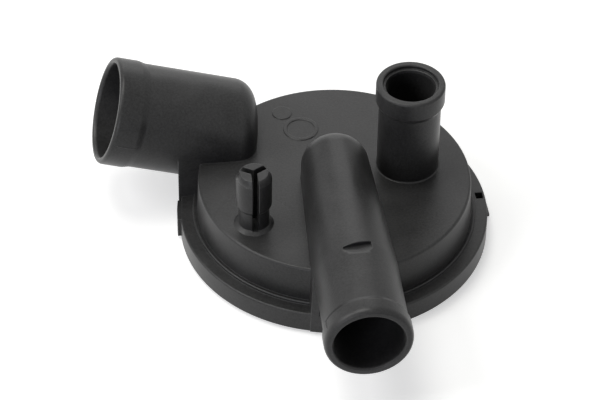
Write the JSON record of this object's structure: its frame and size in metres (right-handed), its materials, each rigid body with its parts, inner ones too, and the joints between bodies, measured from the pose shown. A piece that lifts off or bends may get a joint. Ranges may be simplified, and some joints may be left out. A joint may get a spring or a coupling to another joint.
{
  "type": "crankcase ventilation valve",
  "caption": "Round diaphragm valve for crankcase gas: wide slanted inlet, long side outlet, upright nozzle, snap stud and snap-in cover; a spring-loaded plate lifts to close the outlet.",
  "frame": {"origin": "centre of the cover's flat underside, on the axis of the round chamber", "axes": "+Z along the chamber's axis, from the cover towards the nozzle; the outlet leaves towards -Y, turned a little towards +X; the inlet leaves towards -X and rises"},
  "size_m": [0.1194, 0.1217, 0.0503],
  "materials": {
    "upper_housing": "fine-grained glass-filled nylon",
    "lower_cover": "fine-grained glass-filled nylon",
    "diaphragm": "matt moulded rubber",
    "support_plate": "natural acetal",
    "centre_rivet": "natural acetal",
    "return_spring": "drawn stainless wire",
    "spring_ring": "pressed stainless strip"
  },
  "bodies": {
    "housing": {"upper_housing": "upper_housing", "lower_cover": "lower_cover", "diaphragm": "diaphragm", "return_spring": "return_spring"},
    "valve": {"support_plate": "support_plate", "centre_rivet": "centre_rivet", "spring_ring": "spring_ring"}
  },
  "joints": [
    {"name": "valve_lift", "type": "slide", "parent": "housing", "child": "valve", "axis": [0, 0, 1], "range_m": [0, 0.004], "stiffness_N_per_m": 229, "springref_m": -0.01, "deforming": ["return_spring", "diaphragm"]}
  ]
}
